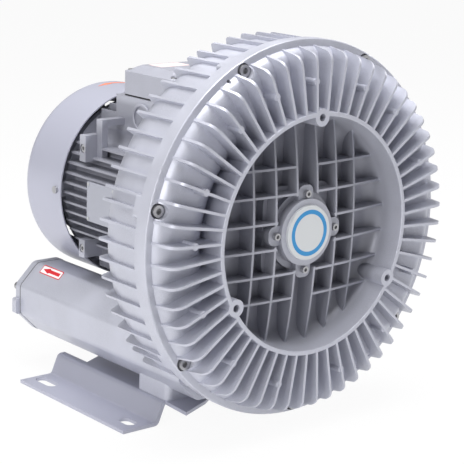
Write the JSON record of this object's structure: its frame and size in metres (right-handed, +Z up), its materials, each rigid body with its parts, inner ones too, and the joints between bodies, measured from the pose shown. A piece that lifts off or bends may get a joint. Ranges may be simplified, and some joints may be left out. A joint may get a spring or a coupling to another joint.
{
  "type": "side channel blower",
  "caption": "Side channel blower with a finned ring casing, ribbed hub cover, finned electric motor behind it, twin silencer ports below and a bent sheet foot.",
  "frame": {"origin": "on the floor under the middle of the overall box, below the shaft axis", "axes": "+Y along the shaft from the front cover to the motor, +X to the right seen from the front cover, +Z up"},
  "size_m": [0.43, 0.418, 0.447],
  "materials": {
    "cast_aluminium": "painted silver grey, satin",
    "motor_paint": "painted silver grey, satin",
    "sheet_paint": "painted silver grey, satin",
    "zinc_steel": "zinc plated",
    "bright_steel": "ground",
    "bare_aluminium": "machined",
    "lamination": "varnished",
    "winding": "varnished copper",
    "gasket_paper": "matte",
    "seal_rubber": "matte",
    "fan_plastic": "matte",
    "foam": "open foam",
    "plate_metal": "brushed",
    "block_plastic": "moulded"
  },
  "bodies": {
    "machine": {"front_cover": "cast_aluminium", "rear_casing": "cast_aluminium", "flange_gasket": "gasket_paper", "flange_screws": "zinc_steel", "flange_washers": "zinc_steel", "dowel_pins": "bright_steel", "shaft_seal": "seal_rubber", "outboard_bearing_outer": "bright_steel", "drive_bearing_outer": "bright_steel", "rear_bearing_outer": "bright_steel", "bearing_carrier": "cast_aluminium", "hub_cap": "plate_metal", "hub_screws": "zinc_steel", "motor_frame": "motor_paint", "motor_screws": "zinc_steel", "stator_core": "lamination", "stator_winding": "winding", "rear_end_shield": "motor_paint", "end_shield_screws": "zinc_steel", "fan_cowl": "sheet_paint", "cowl_screws": "zinc_steel", "frame_screws": "zinc_steel", "nameplate": "plate_metal", "nameplate_rivets": "plate_metal", "terminal_box": "motor_paint", "terminal_box_gasket": "seal_rubber", "terminal_box_screws": "zinc_steel", "terminal_box_lid": "motor_paint", "lid_screws": "zinc_steel", "terminal_block": "block_plastic", "cable_gland": "fan_plastic", "port_flanges": "cast_aluminium", "port_gaskets": "gasket_paper", "port_flange_screws": "zinc_steel", "silencer_foam": "foam", "foot_bracket": "sheet_paint", "foot_bolts": "zinc_steel"},
    "rotor": {"impeller": "bare_aluminium", "impeller_key": "bright_steel", "impeller_nut": "bright_steel", "shaft_sleeve": "bright_steel", "shaft": "bright_steel", "outboard_bearing_inner": "bright_steel", "drive_bearing_inner": "bright_steel", "rear_bearing_inner": "bright_steel", "rotor_core": "lamination", "cooling_fan": "fan_plastic", "fan_clip": "bright_steel"}
  },
  "joints": [
    {"name": "rotor_spin", "type": "hinge", "parent": "machine", "child": "rotor", "pos_m": [0, 0, 0.232], "axis": [0, 1, 0], "continuous": true}
  ]
}
